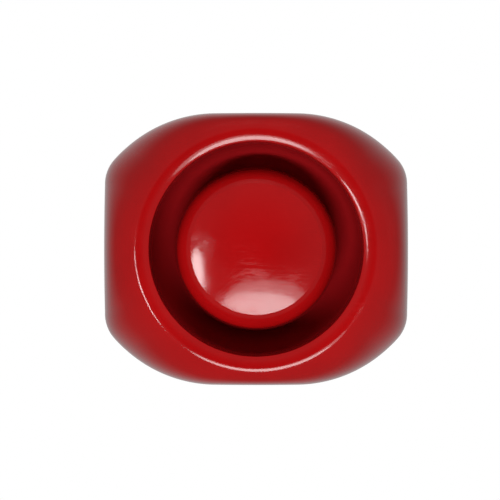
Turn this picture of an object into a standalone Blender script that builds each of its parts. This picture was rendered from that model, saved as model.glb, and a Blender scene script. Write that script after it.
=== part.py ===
"""Wall-mounted alarm sounder: a deep back box and a plug-in horn head, each piece its own solid.

The origin is the centre of the wall face, +Z is up and the front faces -Y. Every piece is modelled lying on
its back under one turned empty: there x runs across, y runs up the wall and z runs out of the wall.
"""

import math

import bmesh
import bpy
import numpy as np


def mm(*values):
    """Millimetres as metres: one number, or a tuple of them."""
    metres = tuple(value * 0.001 for value in values)
    return metres[0] if len(metres) == 1 else metres


# Outline: two end arcs joined by a flat top and bottom, cut off by flat sides with small fillets.
HALF_WIDTH = mm(53.0)
ARC_RADIUS = mm(47.2)
ARC_CENTRE = mm(14.4)
CORNER_FILLET = mm(13.0)
SECTIONS = 48

# Heights above the wall.
PARTING = mm(40.0)
SKIRT_TOP = mm(55.0)
CREST = mm(91.0)
GAP = mm(0.3)
WALL = mm(2.8)

# Front housing: the shell rises from the skirt to a round crest, and its ring turns down into the mouth.
CREST_RADIUS = mm(40.4)
CREST_ROUND = mm(3.5)
BANK_SLOPE = 0.5
MOUTH_RADIUS = mm(36.6)
MOUTH_EDGE = mm(90.3)
COLLAR_END = mm(80.3)
COLLAR_INNER = mm(36.4)
COLLAR_OUTER = mm(38.4)
SKIRT_DRAFT = mm(0.4)
FULLNESS_NARROW = 6.2
FULLNESS_LOSS = 390.0
NARROW_SHOULDER = mm(6.95)
SOFTEST = 2.4
COVER_BOSSES = [mm(x, y) for x in (-38, 38) for y in (-25, 25)]

# Back box: floor and walls, a ledge for the seal and a spigot that the head slips over.
BOX_TOP_INSET = mm(0.3)
BOX_WALL_INSET = mm(0.7)
FLOOR = mm(2.8)
LEDGE = mm(37.2)
LEDGE_ROOT = mm(33.0)
LEDGE_INSET = mm(8.0)
SPIGOT_OUTER = mm(3.2)
SPIGOT_INNER = mm(5.2)
SPIGOT_TOP = mm(48.0)
ENTRY_HEIGHT = mm(17.5)
ENTRY_RADIUS = mm(10.1)
REAR_ENTRY = mm(0, 24)
REAR_ENTRY_RADIUS = mm(9.0)
WALL_SLOTS = [mm(x, y) for x in (-38, 38) for y in (-18, 18)]

# Horn: a bowl whose section is a quarter ellipse from the mouth down to the throat.
THROAT_RADIUS = mm(10.0)
THROAT = mm(57.0)
HORN_TOP = mm(80.0)
HORN_REAR = mm(54.5)
HORN_BOSS = mm(32.0)
HORN_WALL = mm(2.2)
HORN_FLANGE = mm(39.5)

# Plug in the middle of the mouth: a domed cap on a body with three legs.
CAP_RADIUS = mm(27.2)
CAP_SHOULDER = mm(22.5)
CAP_CREST = mm(88.0)
CAP_SHOULDER_HEIGHT = mm(84.8)
CAP_EDGE_HEIGHT = mm(79.3)
CAP_EDGE_START = 48.6
CAP_BASE = mm(77.9)
CAP_WALL = mm(2.0)
PLUG_TOP = mm(77.6)
PLUG_SKIRT = [mm(26.4, 77.6), mm(26.4, 76.6), mm(26.9, 76.0), mm(27.4, 73.0), mm(28.0, 69.5)]
PLUG_UNDERSIDE = [mm(27.6, 68.2), mm(25.0, 66.2), mm(20.0, 63.9), mm(13.0, 62.0), mm(6.0, 61.0)]
LEG_CIRCLE = mm(23.5)
LEG_FOOT = mm(62.0)

# Driver, on the horn's axis.
DRIVER_SCREW_CIRCLE = mm(28.5)
FRAME_RADIUS = mm(31.0)
CONE_TRAVEL_CLEARANCE = mm(0.7)

# Rear cover and circuit board.
COVER_INSET = mm(5.6)
COVER_BOTTOM = mm(40.0)
COVER_TOP = mm(42.0)
TUB_OUTER = mm(36.0)
TUB_INNER = mm(34.2)
TUB_BOTTOM = mm(24.0)
TUB_FLOOR = mm(25.8)
BOARD_RADIUS = mm(33.5)
BOARD_BOTTOM = mm(29.0)
BOARD_TOP = mm(30.6)
BOARD_SCREWS = [mm(10, 29), mm(-10, -29)]
SWITCH_PLACE = mm(-14, 10)
SWITCH_SIZE = mm(10.8, 6.4)
SWITCH_BOTTOM = mm(23.2)
SLIDER_PITCH = mm(2.54)
SLIDER_TRAVEL = mm(1.2)
TRIMMER_PLACE = mm(12, 12)
TRIMMER_SIZE = mm(7.0)
TRIMMER_BOTTOM = mm(23.4)
PIN_ROW = mm(-14)
PIN_PLACES = [mm(x) for x in (-5, 0, 5)]

# Terminals in the back box.
BLOCK_ROW = mm(-29)
TERMINAL_PLACES = [mm(x) for x in (-9, -3, 3, 9)]
CARRIER_TOP = mm(20.0)

# Lock screws in the flat sides of the head.
LOCK_HEIGHT = mm(45.0)
LOCK_RADIUS = mm(2.6)
LOCK_INNER = mm(50.15)
LOCK_OUTER = mm(52.6)

FINISHES = {
    "red_gloss": ((0.42, 0.010, 0.012), 0.18, 0.0),
    "red_satin": ((0.36, 0.012, 0.012), 0.42, 0.0),
    "black_rubber": ((0.02, 0.02, 0.02), 0.85, 0.0),
    "black_plastic": ((0.03, 0.03, 0.032), 0.45, 0.0),
    "board": ((0.02, 0.16, 0.06), 0.5, 0.0),
    "terminal_green": ((0.05, 0.28, 0.12), 0.4, 0.0),
    "steel": ((0.62, 0.62, 0.6), 0.3, 1.0),
    "brass": ((0.72, 0.5, 0.2), 0.3, 1.0),
    "ferrite": ((0.06, 0.06, 0.065), 0.6, 0.0),
    "copper": ((0.7, 0.28, 0.12), 0.35, 1.0),
    "amber_film": ((0.5, 0.24, 0.05), 0.35, 0.0),
    "white_plastic": ((0.75, 0.75, 0.72), 0.4, 0.0),
    "blue_plastic": ((0.03, 0.12, 0.42), 0.4, 0.0),
    "sleeve_blue": ((0.02, 0.05, 0.2), 0.35, 0.0),
    "lead_red": ((0.5, 0.01, 0.01), 0.4, 0.0),
    "lead_black": ((0.015, 0.015, 0.015), 0.45, 0.0),
}


def clear_scene():
    for obj in list(bpy.data.objects):
        bpy.data.objects.remove(obj)


def make_collection(name):
    group = bpy.data.collections.new(name)
    bpy.context.scene.collection.children.link(group)
    return group


def make_material(name, colour, roughness, metallic):
    material = bpy.data.materials.new(name)
    material.use_nodes = True
    shader = material.node_tree.nodes["Principled BSDF"]
    shader.inputs["Base Color"].default_value = (*colour, 1.0)
    shader.inputs["Roughness"].default_value = roughness
    shader.inputs["Metallic"].default_value = metallic
    return material


clear_scene()
PARTS = make_collection("alarm_siren")
CUTTERS = make_collection("cutters")
MATERIALS = {name: make_material(name, *finish) for name, finish in FINISHES.items()}

# Turned so that the pieces' z points out of the wall, which is world -Y, and their y points up.
RIG = bpy.data.objects.new("wall_frame", None)
RIG.rotation_euler = (math.pi / 2, 0, 0)
PARTS.objects.link(RIG)


def add_object(name, mesh, finish=None, place=(0, 0, 0), turn=(0, 0, 0)):
    """A piece in the parts collection, or a hidden cutter when it has no finish."""
    obj = bpy.data.objects.new(name, mesh)
    obj.parent = RIG
    obj.location = place
    obj.rotation_euler = turn
    if finish:
        PARTS.objects.link(obj)
        mesh.materials.append(MATERIALS[finish])
    else:
        CUTTERS.objects.link(obj)
        obj.hide_render = True
        obj.display_type = "WIRE"
    return obj


def mesh_from(name, points, faces):
    """A mesh from points and faces, its normals pointing out."""
    mesh = bpy.data.meshes.new(name)
    mesh.from_pydata([tuple(point) for point in points], [], faces)
    shape = bmesh.new()
    shape.from_mesh(mesh)
    bmesh.ops.recalc_face_normals(shape, faces=shape.faces)
    shape.to_mesh(mesh)
    shape.free()
    return mesh


def smooth(obj):
    obj.data.shade_smooth()
    obj.data.set_sharp_from_angle(angle=math.radians(35))


def turned(name, profile, finish=None, place=(0, 0, 0), turn=(0, 0, 0), steps=32, ring=False):
    """A profile of (radius, height) pairs, turned about z. It runs down its outer side; ring closes it."""
    mesh = bpy.data.meshes.new(name)
    count = len(profile)
    edges = [(i, i + 1) for i in range(count - 1)]
    if ring:
        edges.append((count - 1, 0))
    mesh.from_pydata([(radius, 0.0, height) for radius, height in profile], edges, [])
    obj = add_object(name, mesh, finish, place, turn)
    screw = obj.modifiers.new("turn", "SCREW")
    screw.steps = steps
    screw.render_steps = steps
    screw.use_merge_vertices = True
    screw.merge_threshold = 0.00005
    screw.use_smooth_shade = True
    return obj


def cylinder(name, radius, low, high, finish=None, place=(0, 0), steps=16):
    """An upright cylinder between two heights."""
    shape = bmesh.new()
    bmesh.ops.create_cone(
        shape, cap_ends=True, segments=steps, radius1=radius, radius2=radius, depth=high - low
    )
    mesh = bpy.data.meshes.new(name)
    shape.to_mesh(mesh)
    shape.free()
    obj = add_object(name, mesh, finish, (place[0], place[1], (low + high) / 2))
    smooth(obj)
    return obj


def block(name, size, centre, low, high, finish=None, bevel=0.0):
    """A box of this width and length, centred at (x, y), between two heights."""
    shape = bmesh.new()
    bmesh.ops.create_cube(shape, size=1.0)
    bmesh.ops.scale(shape, vec=(size[0], size[1], high - low), verts=shape.verts)
    mesh = bpy.data.meshes.new(name)
    shape.to_mesh(mesh)
    shape.free()
    obj = add_object(name, mesh, finish, (centre[0], centre[1], (low + high) / 2))
    if bevel:
        edge = obj.modifiers.new("edges", "BEVEL")
        edge.width = bevel
        edge.segments = 1
    return obj


def boolean(target, tool, operation):
    step = target.modifiers.new(operation.lower(), "BOOLEAN")
    step.operation = operation
    step.object = tool
    step.solver = "EXACT"


def cut(target, *tools):
    for tool in tools:
        boolean(target, tool, "DIFFERENCE")


def join(target, *tools):
    for tool in tools:
        boolean(target, tool, "UNION")


def loft(name, rings, finish, closed=False):
    """Faces between successive rings of the same number of points; flat ends are capped unless closed."""
    count = len(rings[0])
    faces = []
    last = len(rings) if closed else len(rings) - 1
    for level in range(last):
        low = level * count
        high = (level + 1) % len(rings) * count
        for i in range(count):
            j = (i + 1) % count
            faces.append((low + i, low + j, high + j, high + i))
    if not closed:
        faces.append(tuple(range(count)))
        faces.append(tuple(range((len(rings) - 1) * count, len(rings) * count)))
    obj = add_object(name, mesh_from(name, np.concatenate(rings), faces), finish)
    smooth(obj)
    return obj


def outline_radius(angle, inset):
    """Distance from the axis to the outline, moved in by inset, along a ray at this angle."""
    across, up = abs(math.cos(angle)), abs(math.sin(angle))
    half = HALF_WIDTH - inset
    radius = ARC_RADIUS - inset
    fillet = max(CORNER_FILLET - inset, mm(0.5))
    side = half / max(across, 1e-9)
    arc = ARC_CENTRE * across + math.sqrt(radius**2 - (ARC_CENTRE * up) ** 2)
    if arc * across < ARC_CENTRE:
        arc = radius / up
    fillet_x = half - fillet
    fillet_y = math.sqrt((radius - fillet) ** 2 - (fillet_x - ARC_CENTRE) ** 2)
    lean = math.atan2(fillet_y, fillet_x - ARC_CENTRE)
    start = math.atan2(fillet_y, half)
    end = math.atan2(radius * math.sin(lean), ARC_CENTRE + radius * math.cos(lean))
    if start < math.atan2(up, across) < end:
        along = fillet_x * across + fillet_y * up
        return along + math.sqrt(fillet**2 - fillet_x**2 - fillet_y**2 + along**2)
    return min(side, arc)


ANGLES = [2 * math.pi * i / SECTIONS for i in range(SECTIONS)]


def ring_at(radius_of, height_of):
    """One ring of points, from functions of the angle."""
    return np.array(
        [
            (radius_of(a) * math.cos(a), radius_of(a) * math.sin(a), height_of(a))
            for a in ANGLES
        ]
    )


def outline_ring(inset, height):
    return ring_at(lambda angle: outline_radius(angle, inset), lambda angle: height)


def circle_ring(radius, height):
    return ring_at(lambda angle: radius, lambda angle: height)


def fullness(angle):
    """Exponent of the shoulder's curve: full where the shoulder is narrow, soft in the wide corners."""
    wide = outline_radius(angle, SKIRT_DRAFT) - CREST_RADIUS - NARROW_SHOULDER
    return max(SOFTEST, FULLNESS_NARROW - FULLNESS_LOSS * wide)


def bank(distance):
    """How far the shoulder has fallen at this distance outside the crest: round at first, then steady."""
    settle = BANK_SLOPE * CREST_ROUND
    return BANK_SLOPE * settle * math.log(math.cosh(distance / settle))


def shoulder_ring(turn, inset, crest_radius, crest):
    """Shoulder from the outline at the skirt's top to the round crest: a superellipse of fullness(angle),
    less the bank."""

    def width(angle):
        return outline_radius(angle, inset) - crest_radius

    def out(angle):
        return width(angle) * math.cos(turn) ** (2 / fullness(angle))

    def height(angle):
        fall = bank(width(angle))
        rise = (crest - SKIRT_TOP - fall) * math.sin(turn) ** (2 / fullness(angle))
        return SKIRT_TOP + rise + fall - bank(out(angle))

    return ring_at(lambda angle: crest_radius + out(angle), height)


def arc_points(centre, radii, start, end, count):
    """Points of an elliptical arc in the (radius, height) plane, angles in degrees."""
    turns = np.radians(np.linspace(start, end, count))
    across = centre[0] + radii[0] * np.cos(turns)
    up = centre[1] + radii[1] * np.sin(turns)
    return list(zip(across.tolist(), up.tolist(), strict=True))


def around(circle, start, count):
    """Places spaced evenly on a circle, the first at start degrees."""
    turns = [math.radians(start + 360 * i / count) for i in range(count)]
    return [(circle * math.cos(a), circle * math.sin(a)) for a in turns]


# ---------------------------------------------------------------- the head's shell, horn and plug


def front_housing():
    outer_turns = [math.radians(a) for a in (8, 20, 34, 48, 62, 76, 90)]
    inner_turns = [math.radians(a) for a in (90, 66, 42, 20, 0)]
    inner_crest_radius = CREST_RADIUS + mm(0.7)
    inner_crest = CREST - WALL
    rings = [outline_ring(0.0, PARTING + GAP), outline_ring(SKIRT_DRAFT, SKIRT_TOP)]
    rings += [shoulder_ring(turn, SKIRT_DRAFT, CREST_RADIUS, CREST) for turn in outer_turns]
    rings += [
        circle_ring(mm(38.5), mm(90.84)),
        circle_ring(MOUTH_RADIUS + mm(0.2), MOUTH_EDGE + mm(0.2)),
        circle_ring(MOUTH_RADIUS, MOUTH_EDGE - mm(0.3)),
        circle_ring(COLLAR_INNER, COLLAR_END),
        circle_ring(COLLAR_OUTER, COLLAR_END),
        circle_ring(COLLAR_OUTER, inner_crest - mm(1.5)),
    ]
    inset = SKIRT_DRAFT + WALL - mm(0.2)
    rings += [shoulder_ring(turn, inset, inner_crest_radius, inner_crest) for turn in inner_turns]
    rings.append(outline_ring(WALL, PARTING + GAP))
    shell = loft("front_housing", rings, "red_gloss", closed=True)
    for i, place in enumerate(COVER_BOSSES):
        boss = cylinder(f"boss_tool_{i}", mm(3.6), COVER_TOP + GAP, mm(82), place=place, steps=12)
        join(shell, boss)
        bore = cylinder(f"boss_bore_{i}", mm(1.6), mm(41), mm(53), place=place, steps=8)
        cut(shell, bore)
    for side in (-1, 1):
        cut(shell, side_cylinder(f"lock_bore_{side}", LOCK_RADIUS + GAP, mm(49), mm(54), side))


def side_cylinder(name, radius, near, far, side, finish=None):
    """A cylinder on the lock screws' axis, from near to far out from the middle, on the given side."""
    profile = [(0, (far - near) / 2), (radius, (far - near) / 2)]
    profile += [(radius, (near - far) / 2), (0, (near - far) / 2)]
    place = (side * (near + far) / 2, 0, LOCK_HEIGHT)
    return turned(name, profile, finish, place, (0, side * math.pi / 2, 0), steps=16)


def lock_screws():
    for side, name in ((-1, "lock_screw_left"), (1, "lock_screw_right")):
        screw = side_cylinder(name, LOCK_RADIUS, LOCK_INNER, LOCK_OUTER, side, "steel")
        slot = block(
            f"{name}_slot", mm(2.4, 0.8), (side * LOCK_OUTER, 0), LOCK_HEIGHT - mm(4), LOCK_HEIGHT + mm(4)
        )
        cut(screw, slot)


def horn_flare():
    bowl = arc_points(
        (THROAT_RADIUS, HORN_TOP), (COLLAR_INNER - THROAT_RADIUS, HORN_TOP - THROAT), -90, 0, 9
    )
    back_reach = COLLAR_INNER - THROAT_RADIUS + HORN_WALL
    back_drop = HORN_TOP - THROAT + HORN_WALL
    boss_turn = -math.degrees(math.acos((HORN_BOSS - THROAT_RADIUS) / back_reach))
    back = arc_points((THROAT_RADIUS, HORN_TOP), (back_reach, back_drop), -5, boss_turn, 5)
    profile = [(HORN_FLANGE, HORN_TOP), (HORN_FLANGE, HORN_TOP - mm(1.8)), *back]
    profile += [(HORN_BOSS, HORN_REAR), (THROAT_RADIUS, HORN_REAR), *bowl]
    horn = turned("horn_flare", profile, "red_gloss", ring=True)
    for i, place in enumerate(around(LEG_CIRCLE, 90, 3)):
        cut(
            horn,
            cylinder(f"plug_bore_{i}", mm(1.3), mm(54), mm(64), place=place, steps=8),
            cylinder(f"plug_counterbore_{i}", mm(2.4), mm(54), mm(57), place=place, steps=10),
        )
    for i, place in enumerate(around(DRIVER_SCREW_CIRCLE, 45, 4)):
        cut(horn, cylinder(f"driver_bore_{i}", mm(1.5), mm(54), mm(61), place=place, steps=8))


def centre_plug():
    profile = [(0, PLUG_TOP), *PLUG_SKIRT, *PLUG_UNDERSIDE, (0, PLUG_UNDERSIDE[-1][1])]
    body = turned("plug_body", profile, "red_gloss")
    for i, place in enumerate(around(LEG_CIRCLE, 90, 3)):
        join(body, cylinder(f"leg_tool_{i}", mm(2.4), LEG_FOOT, mm(70), place=place, steps=12))
        cut(body, cylinder(f"leg_bore_{i}", mm(1.3), mm(61), mm(67), place=place, steps=8))
        shank = [(0, mm(66)), mm(1.0, 66), mm(1.0, 56.7), mm(2.0, 56.7), mm(2.0, 54.8), (0, mm(54.8))]
        turned(f"plug_screw_{i + 1}", shank, "steel", place=(*place, 0), steps=10)

    start = math.radians(CAP_EDGE_START)
    across = (CAP_RADIUS - CAP_SHOULDER) / (1 - math.cos(start))
    up = (CAP_SHOULDER_HEIGHT - CAP_EDGE_HEIGHT) / math.sin(start)
    edge = arc_points((CAP_RADIUS - across, CAP_EDGE_HEIGHT), (across, up), CAP_EDGE_START, 0, 7)[1:]
    rise = CAP_CREST - CAP_SHOULDER_HEIGHT
    crown = [
        (CAP_SHOULDER * share, CAP_CREST - rise * share**2)
        for share in (0, 0.35, 0.7, 1.0)
    ]
    bore = CAP_RADIUS - CAP_WALL
    inside = [(bore, CAP_BASE), (bore, CAP_EDGE_HEIGHT + mm(0.2))]
    inside += [(bore - mm(4), CAP_SHOULDER_HEIGHT - mm(2.4)), (0, CAP_CREST - mm(2.6))]
    turned("plug_cap", [*crown, *edge, (CAP_RADIUS, CAP_BASE), *inside], "red_gloss")


# ---------------------------------------------------------------- driver


def driver():
    turned(
        "driver_gasket",
        [mm(26.5, 54.2), mm(26.5, 53.2), mm(20.0, 53.2), mm(20.0, 54.2)],
        "black_rubber",
        ring=True,
    )
    frame_profile = [
        (FRAME_RADIUS, mm(52.9)),
        (FRAME_RADIUS, mm(49.9)),
        mm(14.6, 49.9),
        mm(14.6, 51.0),
        mm(20.2, 51.0),
        mm(20.2, 52.9),
    ]
    frame = turned("driver_frame", frame_profile, "black_plastic", ring=True)
    screw_profile = [(0, mm(60)), mm(1.2, 60), mm(1.2, 49.6), mm(2.1, 49.6), mm(2.1, 47.8), (0, mm(47.8))]
    for i, place in enumerate(around(DRIVER_SCREW_CIRCLE, 45, 4)):
        cut(frame, cylinder(f"frame_bore_{i}", mm(1.5), mm(49), mm(54), place=place, steps=8))
        turned(f"driver_screw_{i + 1}", screw_profile, "steel", place=(*place, 0), steps=10)
    turned(
        "driver_top_plate",
        [mm(21, 49.6), mm(21, 46.9), mm(13.3, 46.9), mm(13.3, 49.6)],
        "steel",
        ring=True,
    )
    turned(
        "driver_magnet", [mm(22, 46.6), mm(22, 40.5), mm(15, 40.5), mm(15, 46.6)], "ferrite", ring=True
    )
    yoke_profile = [
        (0, mm(49.6)),
        mm(11.8, 49.6),
        mm(11.8, 40.2),
        mm(22, 40.2),
        mm(22, 37.0),
        (0, mm(37.0)),
    ]
    turned("driver_yoke", yoke_profile, "steel")

    # The dome and its flat surround are one film, clear of the frame by the cone's travel.
    dome_top = [(mm(12.9) * s, mm(52.3) + mm(2.0) * (1 - s * s)) for s in (0, 0.35, 0.7, 1.0)]
    dome_under = [(mm(12.9) * s, mm(52.0) + mm(2.0) * (1 - s * s)) for s in (1.0, 0.7, 0.35, 0)]
    rim = [mm(19.6, 52.3), mm(19.6, 52.0)]
    turned("diaphragm", [*dome_top, *rim, *dome_under], "amber_film")
    coil_top = mm(51.0) + CONE_TRAVEL_CLEARANCE
    turned(
        "voice_coil",
        [(mm(12.8), coil_top), mm(12.8, 47.2), mm(12.3, 47.2), (mm(12.3), coil_top)],
        "copper",
        ring=True,
    )


# ---------------------------------------------------------------- rear cover and electronics


def rear_cover():
    rings = [
        circle_ring(TUB_OUTER, TUB_BOTTOM),
        circle_ring(TUB_OUTER, COVER_BOTTOM),
        outline_ring(COVER_INSET, COVER_BOTTOM),
        outline_ring(COVER_INSET, COVER_TOP),
        circle_ring(TUB_INNER, COVER_TOP),
        circle_ring(TUB_INNER, TUB_FLOOR),
    ]
    cover = loft("rear_cover", rings, "black_plastic")
    for i, place in enumerate(BOARD_SCREWS):
        join(cover, cylinder(f"post_tool_{i}", mm(2.2), mm(25), mm(28.7), place=place, steps=12))
        cut(cover, cylinder(f"post_bore_{i}", mm(1.2), mm(26.2), mm(30), place=place, steps=8))
    screw_profile = [(0, mm(52)), mm(1.3, 52), mm(1.3, 39.7), mm(2.6, 39.7), mm(2.6, 37.7), (0, mm(37.7))]
    for i, place in enumerate(COVER_BOSSES):
        cut(cover, cylinder(f"cover_bore_{i}", mm(1.7), mm(39), mm(43), place=place, steps=8))
        turned(f"cover_screw_{i + 1}", screw_profile, "steel", place=(*place, 0), steps=10)
    low, high = mm(23), mm(27)
    window = [size + mm(0.8) for size in SWITCH_SIZE]
    trimmer_window = [TRIMMER_SIZE + mm(0.8)] * 2
    cut(
        cover,
        block("switch_window", window, SWITCH_PLACE, low, high),
        block("trimmer_window", trimmer_window, TRIMMER_PLACE, low, high),
        block("pin_window", mm(16, 3.4), (0, PIN_ROW), low, high),
    )


def circuit_board():
    board = cylinder("circuit_board", BOARD_RADIUS, BOARD_BOTTOM, BOARD_TOP, "board", steps=32)
    screw_profile = [(0, mm(32.3)), mm(1.9, 32.3), mm(1.9, 30.9), mm(0.9, 30.9), mm(0.9, 26.6), (0, mm(26.6))]
    for i, place in enumerate(BOARD_SCREWS):
        cut(board, cylinder(f"board_bore_{i}", mm(1.2), mm(28), mm(32), place=place, steps=8))
        turned(f"board_screw_{i + 1}", screw_profile, "steel", place=(*place, 0), steps=10)
    foot = BOARD_TOP + GAP
    block("amplifier_chip", mm(7, 7), mm(6, -9), foot, foot + mm(1.6), "black_plastic", mm(0.3))
    block("transformer", mm(8, 16), mm(-28, 0), foot, foot + mm(12), "ferrite", mm(0.6))
    for name, radius, height, place in (
        ("capacitor_1", mm(4.5), mm(15), mm(22, 18)),
        ("capacitor_2", mm(3.2), mm(12), mm(27, -8)),
    ):
        low, high = foot, foot + height
        profile = [(0, high), (radius - mm(0.6), high), (radius, high - mm(0.6)), (radius, low), (0, low)]
        turned(name, profile, "sleeve_blue", place=(*place, 0), steps=16)
    for i, x in enumerate(PIN_PLACES):
        block(f"contact_pin_{i + 1}", mm(1.2, 1.2), (x, PIN_ROW), mm(15), BOARD_BOTTOM - GAP, "brass")


def switches():
    top = BOARD_BOTTOM - GAP
    body = block("switch_block", SWITCH_SIZE, SWITCH_PLACE, SWITCH_BOTTOM, top, "blue_plastic")
    well_depth = mm(1.6)
    for i in range(4):
        x = SWITCH_PLACE[0] + (i - 1.5) * SLIDER_PITCH
        low = SWITCH_BOTTOM - mm(1)
        well = block(f"slider_well_{i}", mm(1.7, 3.6), (x, SWITCH_PLACE[1]), low, SWITCH_BOTTOM + well_depth)
        cut(body, well)
        rest = (x, SWITCH_PLACE[1] - SLIDER_TRAVEL / 2)
        bottom, high = SWITCH_BOTTOM - mm(0.5), SWITCH_BOTTOM + well_depth - GAP
        block(f"tone_slider_{i + 1}", mm(1.0, 1.5), rest, bottom, high, "white_plastic")
    trimmer = block(
        "volume_body", [TRIMMER_SIZE] * 2, TRIMMER_PLACE, TRIMMER_BOTTOM, top, "blue_plastic"
    )
    low, high = TRIMMER_BOTTOM - mm(1), TRIMMER_BOTTOM + mm(1.5)
    cut(trimmer, cylinder("rotor_well", mm(2.7), low, high, place=TRIMMER_PLACE, steps=16))
    rotor_low, rotor_high = TRIMMER_BOTTOM - mm(0.4), TRIMMER_BOTTOM + mm(1.2)
    rotor = cylinder(
        "volume_rotor", mm(2.3), rotor_low, rotor_high, "white_plastic", place=TRIMMER_PLACE, steps=16
    )
    slot_low, slot_high = rotor_low - mm(1), rotor_low + mm(0.7)
    cut(rotor, block("rotor_slot", mm(3.2, 0.7), TRIMMER_PLACE, slot_low, slot_high))


def driver_leads():
    """Two leads that bow slightly outwards on their way from the board to the driver's frame."""
    low, high = BOARD_TOP + GAP, mm(49.6)
    for name, finish, place in (
        ("lead_red_wire", "lead_red", mm(-7.35, 27.4)),
        ("lead_black_wire", "lead_black", mm(-13.3, 25.1)),
    ):
        curve = bpy.data.curves.new(name, "CURVE")
        curve.dimensions = "3D"
        curve.bevel_depth = mm(0.7)
        curve.bevel_resolution = 2
        curve.use_fill_caps = True
        spline = curve.splines.new("POLY")
        spline.points.add(6)
        for point, share in zip(spline.points, np.linspace(0, 1, 7), strict=True):
            bow = 1 + 0.06 * math.sin(math.pi * share)
            height = low + (high - low) * share
            point.co = (place[0] * bow, place[1] * bow, height, 1)
        obj = bpy.data.objects.new(name, curve)
        obj.parent = RIG
        PARTS.objects.link(obj)
        curve.materials.append(MATERIALS[finish])


# ---------------------------------------------------------------- back box and what it holds


def back_box():
    top = PARTING
    rings = [
        outline_ring(BOX_WALL_INSET, 0.0),
        outline_ring(BOX_TOP_INSET, top),
        outline_ring(SPIGOT_OUTER, top),
        outline_ring(SPIGOT_OUTER, SPIGOT_TOP),
        outline_ring(SPIGOT_INNER, SPIGOT_TOP),
        outline_ring(SPIGOT_INNER, LEDGE),
        outline_ring(LEDGE_INSET, LEDGE),
        outline_ring(LEDGE_INSET, LEDGE - mm(1.2)),
        outline_ring(BOX_WALL_INSET + WALL, LEDGE_ROOT - mm(1)),
        outline_ring(BOX_WALL_INSET + WALL, FLOOR),
    ]
    box = loft("back_box", rings, "red_satin")
    for i, x in enumerate((-12, 12)):
        for j, y in enumerate((-33, -12)):
            join(box, cylinder(f"standoff_{i}{j}", mm(2.5), mm(2), mm(4.2), place=mm(x, y), steps=10))
    for side, name in ((-1, "bottom"), (1, "top")):
        cut(box, wall_cylinder(f"{name}_entry", ENTRY_RADIUS, mm(40), mm(50), side))
    cut(box, cylinder("rear_entry", REAR_ENTRY_RADIUS, mm(-1), mm(4), place=REAR_ENTRY, steps=24))
    for i, place in enumerate(WALL_SLOTS):
        slot = cylinder(f"wall_slot_{i}", mm(2.5), mm(-1), mm(4), place=place, steps=16)
        for vertex in slot.data.vertices:
            vertex.co.x += math.copysign(mm(2.5), vertex.co.x)
        cut(box, slot)


def wall_cylinder(name, radius, near, far, side):
    """A cutter through the top or bottom wall on the cable entries' axis."""
    profile = [(0, far), (radius, far), (radius, near), (0, near)]
    return turned(name, profile, place=(0, 0, ENTRY_HEIGHT), turn=(-side * math.pi / 2, 0, 0), steps=24)


def entry_blanks():
    """Flush discs in the cable entries, each with a flange behind the wall."""
    inner_face = ARC_RADIUS - BOX_WALL_INSET - WALL
    face = inner_face + mm(2.7)
    flange_top = inner_face - GAP
    flange_bottom = flange_top - mm(1.5)
    radius = ENTRY_RADIUS - GAP
    flange = ENTRY_RADIUS + mm(1.4)
    profile = [(0, face), (radius, face), (radius, flange_top)]
    profile += [(flange, flange_top), (flange, flange_bottom), (0, flange_bottom)]
    for side, name in ((-1, "bottom_entry_blank"), (1, "top_entry_blank")):
        place = (0, 0, ENTRY_HEIGHT)
        turned(name, profile, "red_satin", place, (-side * math.pi / 2, 0, 0), steps=24)

    hole = REAR_ENTRY_RADIUS - GAP
    lip = REAR_ENTRY_RADIUS + mm(1.6)
    grommet = [(0, mm(1.6)), (mm(5), mm(1.6)), (mm(6), mm(4.6)), (lip, mm(4.6)), (lip, FLOOR + GAP)]
    grommet += [(hole, FLOOR + GAP), (hole, mm(0.6)), (0, mm(0.6))]
    turned("rear_grommet", grommet, "black_rubber", place=(*REAR_ENTRY, 0), steps=24)


def head_seal():
    outer, inner = mm(5.6), mm(7.6)
    low, high = LEDGE + GAP, COVER_BOTTOM - GAP
    rings = [
        outline_ring(outer, low),
        outline_ring(outer, high),
        outline_ring(inner, high),
        outline_ring(inner, low),
    ]
    loft("head_seal", rings, "black_rubber", closed=True)


def terminals():
    board_bottom, board_top = mm(4.5), mm(6.1)
    block("terminal_board", mm(30, 28), mm(0, -22.5), board_bottom, board_top, "board")
    foot = board_top + GAP
    top = foot + mm(10)
    body = block("terminal_block", mm(25, 10), (0, BLOCK_ROW), foot, top, "terminal_green")
    for i, x in enumerate(TERMINAL_PLACES):
        well = cylinder(f"screw_well_{i}", mm(2.2), top - mm(4), top + mm(1), place=(x, BLOCK_ROW), steps=12)
        port = block(f"wire_port_{i}", mm(3.6, 6), (x, BLOCK_ROW - mm(5)), foot + mm(1.2), foot + mm(4.6))
        cut(body, well, port)
        low = top - mm(3.7)
        profile = [(0, low + mm(2.4)), (mm(1.8), low + mm(2.4)), (mm(1.8), low), (0, low)]
        turned(f"terminal_screw_{i + 1}", profile, "steel", place=(x, BLOCK_ROW, 0), steps=12)
    carrier = block("contact_carrier", mm(18, 7), (0, PIN_ROW), foot, CARRIER_TOP, "black_plastic")
    for i, x in enumerate(PIN_PLACES):
        well = block(f"contact_well_{i}", mm(3.0, 3.8), (x, PIN_ROW), mm(9), CARRIER_TOP + mm(1))
        cut(carrier, well)
        clip_row = PIN_ROW - mm(1.25)
        block(f"contact_clip_{i + 1}", mm(1.6, 0.4), (x, clip_row), mm(9.4), mm(19.2), "brass")


front_housing()
lock_screws()
horn_flare()
centre_plug()
driver()
rear_cover()
circuit_board()
switches()
driver_leads()
back_box()
entry_blanks()
head_seal()
terminals()
bpy.context.view_layer.update()
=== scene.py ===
"""Finished surfaces, materials, light and camera for a wall-mounted alarm sounder, built round its frame."""

import math

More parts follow.
